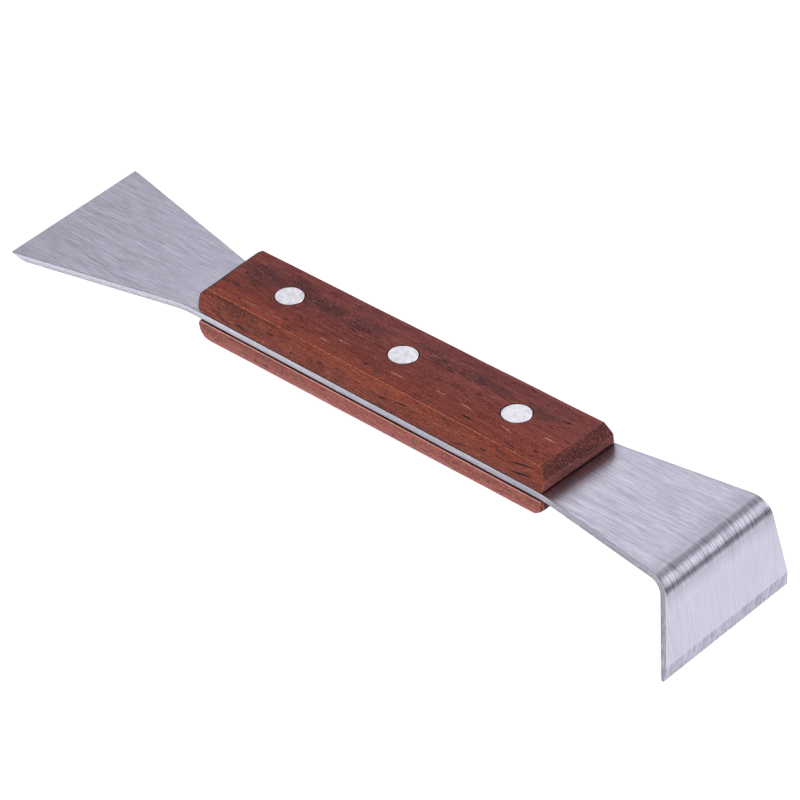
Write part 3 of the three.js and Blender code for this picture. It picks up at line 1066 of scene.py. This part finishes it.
TOP_TONES = Tones(
    across=1,
    reds=(srgb(162, 72, 57), srgb(148, 73, 69)),
    turn=(-8 * MM, 7 * MM),
    dark=srgb(84, 38, 38),
    light=srgb(196, 108, 88),
    charcoal=srgb(82, 43, 49),
    gloss=0.28,
)
SIDE_TONES = Tones(
    across=2,
    reds=(srgb(170, 80, 64), srgb(174, 76, 52)),
    turn=(2 * MM, 9 * MM),
    dark=srgb(88, 36, 28),
    light=srgb(224, 124, 90),
    charcoal=srgb(104, 44, 34),
    gloss=0.2,
)
# Pinker and paler towards the bottom: painted reflection of the pale floor.
UNDER_TONES = Tones(
    across=2,
    reds=(srgb(192, 108, 104), srgb(178, 88, 74)),
    turn=(lower_low.z, lower_high.z),
    dark=srgb(104, 50, 46),
    light=srgb(224, 146, 130),
    charcoal=srgb(110, 56, 50),
    gloss=0.28,
)
BROWNER = (0.7, 0.68, 0.7)  # what the wood's red is multiplied by in its darker bands
SOOT = srgb(50, 26, 30)  # the darkest streaks of the charcoal patches
DIRT = srgb(50, 20, 20)
DARK_PORE = srgb(40, 15, 14)
FILLED_PORE = srgb(226, 144, 118)
LONG_PALE_PORE = srgb(250, 178, 152)
CRACK = srgb(26, 9, 9)
# pale wear, and the painted highlight along the upper scale's near top edge
WORN_AND_LIT_WOOD = srgb(255, 150, 112)
LIP_DROP = 0.5 * MM  # how far below its inner face the lower scale's painted highlight line is


def rosewood(name, tones, patches=(), cracks=(), pale=(), lip=None):
    """Oiled reddish wood: wavy bands, fine fibres, open pores, charcoal patches and paler worn
    edges, with a painted highlight along the upper scale's near top edge. Lip is the height of a
    painted highlight line, above which painted shade darkens the wood."""
    paint = Paint(name, Specular_IOR_Level=tones.gloss)
    place = paint.place()
    wavy = paint.warp(place, (0, 0.0022, 0.0016), (22, 45, 45))
    wavy = paint.warp(wavy, (0.0, 0.0005, 0.0005), (160, 300, 300))
    bands = paint.noise(wavy, (9, 260, 200), detail=3, roughness=0.6)
    fibres = paint.noise(wavy, (110, 2100, 2100), detail=3, roughness=0.7)
    grit = paint.noise(wavy, (1700, 2600, 2600), detail=2, roughness=0.7)
    pores = paint.noise(wavy, (190, 4600, 4600), (1, 4, 9), detail=0.5)
    dark_pores = paint.noise(wavy, (260, 2500, 2500), (6, 2, 3), detail=0.5)
    mottle = paint.noise(place, (60, 170, 170), (2, 8, 5), detail=4, roughness=0.65)

    turn = paint.span(paint.part(place, "XYZ"[tones.across]), *tones.turn)
    red = paint.blend(turn, *tones.reds)
    brown = paint.blend(1.0, red, BROWNER, "MULTIPLY")
    wood = paint.tint(red, brown, bands, 0.36, 0.64)
    wood = paint.tint(wood, tones.dark, fibres, 0.48, 0.74, 0.6)
    wood = paint.tint(wood, tones.light, fibres, 0.48, 0.26, 0.4)
    if patches:
        solid = paint.span(mottle, 0.34, 0.6, 0.65, 1.0)
        streaked = paint.span(fibres, 0.45, 0.66, 0, 0.6)
        wood = charcoal_patches(paint, place, wood, tones, patches, solid, streaked)
    wood = paint.tint(wood, tones.dark, mottle, 0.55, 0.8, 0.35)
    wood = paint.tint(wood, tones.light, grit, 0.46, 0.28, 0.6)
    wood = paint.tint(wood, DIRT, grit, 0.54, 0.7, 0.75)
    wood = paint.tint(wood, DARK_PORE, dark_pores, 0.67, 0.73, 0.75)
    wood = paint.tint(wood, FILLED_PORE, pores, 0.7, 0.76, 0.65)
    wobbly = paint.warp(place, (0, 0.0004, 0.0004), (260, 260, 260))
    if cracks:
        wood = paint.blend(spots(paint, wobbly, cracks, tones.across), wood, CRACK)
    if pale:
        broken = paint.span(paint.noise(place, (900, 900, 900)), 0.4, 0.55, 0.3, 0.9)
        share = paint.math("MULTIPLY", spots(paint, wobbly, pale, tones.across), broken)
        wood = paint.blend(share, wood, LONG_PALE_PORE)
    # pale worn edges, and a painted highlight along the upper scale's near top edge
    worn = paint.math("MULTIPLY", paint.value("wear_and_highlight"), paint.span(grit, 0.6, 0.44, 0.3, 1.0))
    wood = paint.blend(worn, wood, WORN_AND_LIT_WOOD)
    if lip:
        wood = lip_highlight_and_shade(paint, paint.part(place, "Z"), lip, wood)
    paint.set("Base Color", wood)
    paint.set("Roughness", paint.span(fibres, 0.3, 0.7, 0.5, 0.62))
    open_dark = paint.span(dark_pores, 0.67, 0.76)
    open_pale = paint.span(pores, 0.7, 0.78)
    hollows = paint.math("MULTIPLY", paint.math("MAXIMUM", open_dark, open_pale), 0.6)
    relief = paint.math("SUBTRACT", paint.math("MULTIPLY", fibres, 0.5), hollows)
    paint.bump(relief, 0.00014, 0.9)
    return paint.material


def charcoal_patches(paint, place, wood, tones, patches, solid, streaked):
    """Soft dark clouds, where the noise in solid is deep enough, with darker streaks in them."""
    rough_place = paint.warp(place, (0.005, 0.0034, 0.002), (150, 330, 330))
    share = paint.math("MULTIPLY", spots(paint, rough_place, patches, tones.across), solid)
    wood = paint.blend(share, wood, tones.charcoal)
    return paint.blend(paint.math("MULTIPLY", share, streaked), wood, SOOT)


def lip_highlight_and_shade(paint, height, lip, wood):
    """Painted light along the lower scale's upper edge: a painted highlight line, then dark red
    painted shade, then black painted shade by the blade.
    """
    painted_highlight = paint.window(
        height,
        rise=(lip - 0.22 * MM, lip - 0.08 * MM),
        fall=(lip + 0.2 * MM, lip + 0.1 * MM),
        most=0.95,
    )
    wood = paint.blend(painted_highlight, wood, srgb(252, 178, 160))
    # painted shade: dark red above the highlight line
    wood = paint.tint(wood, srgb(70, 22, 16), height, lip + 0.1 * MM, lip + 0.2 * MM, 0.95)
    # painted shade: black in the gap by the blade
    return paint.tint(wood, srgb(10, 3, 3), height, lip + 0.36 * MM, lip + 0.46 * MM)


def end_grain():
    """Across the fibres: darker, with short upright pores. Painted shade darkens the chamfer of
    the hook end still more, and the ends below the blade too."""
    paint = Paint("end_grain", Specular_IOR_Level=0.25)
    place = paint.place()
    tubes = paint.noise(place, (900, 2600, 900), detail=3, roughness=0.65)
    specks = paint.noise(place, (2900, 2900, 2400), (3, 1, 4), detail=1)
    rings = paint.noise(place, (60, 130, 420), (8, 3, 2), detail=2)
    upright = paint.tint(srgb(150, 88, 80), srgb(118, 70, 66), rings, 0.35, 0.65)
    # painted shade: the hook end's chamfer, a darker copy of the upright end grain
    chamfer = paint.tint(srgb(117, 54, 48), srgb(87, 41, 40), rings, 0.35, 0.65)
    height = paint.part(place, "Z")
    facet = upper_high.z - SCALE_TAPER - CHAMFER_HEIGHT
    wood = paint.tint(upright, chamfer, height, facet - 0.1 * MM, facet + 0.1 * MM)
    # painted shade: the ends below the blade darker
    wood = paint.tint(wood, srgb(84, 38, 38), height, 0, -HALF_THICKNESS)
    wood = paint.tint(wood, srgb(46, 18, 20), tubes, 0.46, 0.66, 0.85)
    wood = paint.tint(wood, srgb(206, 124, 104), specks, 0.6, 0.72, 0.7)
    wood = paint.tint(wood, srgb(30, 12, 14), specks, 0.38, 0.28, 0.75)
    # pale wear on the corners, from the attribute that also carries the painted highlight of the
    # upper scale's near top edge
    worn = paint.math("MULTIPLY", paint.value("wear_and_highlight"), paint.span(tubes, 0.6, 0.4, 0.2, 0.75))
    wood = paint.blend(worn, wood, srgb(214, 134, 98))
    paint.set("Base Color", wood)
    paint.set("Roughness", paint.span(tubes, 0.3, 0.7, 0.6, 0.75))
    paint.bump(paint.math("SUBTRACT", 1.0, tubes), 0.0001, 0.8)
    return paint.material


def rivet_aluminium():
    """Soft aluminium, sanded flush: pale, matte, mottled with small dull dents."""
    paint = Paint("rivet_aluminium", Metallic=1.0)
    place = paint.place()
    blotch = paint.noise(place, (900, 900, 900), detail=4, roughness=0.7)
    sanding = paint.noise(place, (900, 5200, 5200), detail=2)
    pits = paint.noise(place, (3300, 3300, 3300), (4, 4, 1), detail=1)
    metal = paint.tint(srgb(250, 248, 254), srgb(229, 227, 237), blotch, 0.42, 0.7)
    metal = paint.tint(metal, srgb(224, 221, 233), sanding, 0.45, 0.7, 0.25)
    metal = paint.tint(metal, srgb(170, 166, 178), pits, 0.68, 0.76, 0.5)
    paint.set("Base Color", metal)
    paint.set("Roughness", paint.span(blotch, 0.35, 0.7, 0.34, 0.44))
    paint.bump(paint.math("ADD", blotch, paint.math("MULTIPLY", sanding, 0.3)), 0.00005, 0.8)
    return paint.material


# ---- Stage: pale floor, soft lights ----

FLOOR_HALF = 3.0  # metres
FLOOR_DROP = 0.05 * MM  # keeps the floor off the tool's lowest points
POOL_OF_LIGHT = (0.14, 0.22, 1)  # half the size of the floor's brightest part, in metres
# Each softbox: name, direction from the tool, distance and size in metres, power in watts.
SOFTBOXES = (
    ("softbox_back_left", (-0.55, 0.53, 0.645), 1.6, (1.1, 1.0), 3.55),
    ("softbox_right", (0.66, 0.512, 0.545), 1.5, (1.0, 1.2), 11.8),
    ("softbox_overhead", (-0.03, 0.512, 0.858), 1.5, (1.0, 1.0), 2.7),
    ("softbox_front", (0.0, -0.66, 0.75), 1.6, (2.0, 1.2), 8.4),
)


def add_floor():
    half = FLOOR_HALF
    corners = [(-half, -half, 0), (half, -half, 0), (half, half, 0), (-half, half, 0)]
    mesh = bpy.data.meshes.new("floor")
    mesh.from_pydata(corners, [], [(0, 1, 2, 3)])
    floor = bpy.data.objects.new("floor", mesh)
    bpy.context.scene.collection.objects.link(floor)
    floor.location.z = -FLOOR_DROP
    # The floor glows: its emission is painted light, brightest in a pool round the tool, and it
    # hides the tool's shadow.
    paint = Paint("glowing_pale_floor", Roughness=0.9, Emission_Color=(1, 1, 1, 1))
    paint.set("Base Color", (0.3, 0.3, 0.31, 1))
    place = paint.node("TexCoord").outputs["Object"]
    turn = (0, 0, math.radians(CAMERA_AZIMUTH))
    distance = paint.length(paint.within(place, rotation=turn, scale=POOL_OF_LIGHT))
    paint.set("Emission Strength", paint.span(distance, 1.0, 2.1, 0.92, 0.22))
    mesh.materials.append(paint.material)


def add_softbox(name, towards, distance, size, power):
    """An area light in a direction from the tool, facing it."""
    data = bpy.data.lights.new(name, "AREA")
    data.shape = "RECTANGLE"
    data.size, data.size_y = size
    data.energy = power
    light = bpy.data.objects.new(name, data)
    bpy.context.scene.collection.objects.link(light)
    direction = Vector(towards).normalized()
    light.location = direction * distance
    light.rotation_mode = "QUATERNION"
    light.rotation_quaternion = direction.to_track_quat("Z", "Y")


def add_lights():
    world = bpy.data.worlds.new("studio")
    world.use_nodes = True
    background = world.node_tree.nodes["Background"]
    background.inputs["Color"].default_value = (0.88, 0.9, 1.0, 1)
    background.inputs["Strength"].default_value = 0.13
    bpy.context.scene.world = world
    for softbox in SOFTBOXES:
        add_softbox(*softbox)


# ---- Build ----

bpy.context.scene.view_settings.view_transform = "Standard"
add_camera()
add_floor()
add_lights()
make_blade()
end_wood = end_grain()
top_wood = rosewood("rosewood_top", TOP_TONES, TOP_PATCHES, TOP_CRACKS, PALE_PORES)
side_wood = rosewood("rosewood_side", SIDE_TONES, SIDE_PATCHES, SIDE_CRACKS)
under_wood = rosewood("rosewood_under", UNDER_TONES, lip=lower_high.z - LIP_DROP)
make_scale(upper_scale(), top_wood, side_wood, end_wood)
make_scale(lower_scale(), under_wood, under_wood, end_wood)
rivet_metal = rivet_aluminium()
for seed, place in enumerate(PLACES):
    make_rivet_half("pin", place, seed + 1, rivet_metal)
    make_rivet_half("tube", place, seed + 4, rivet_metal)
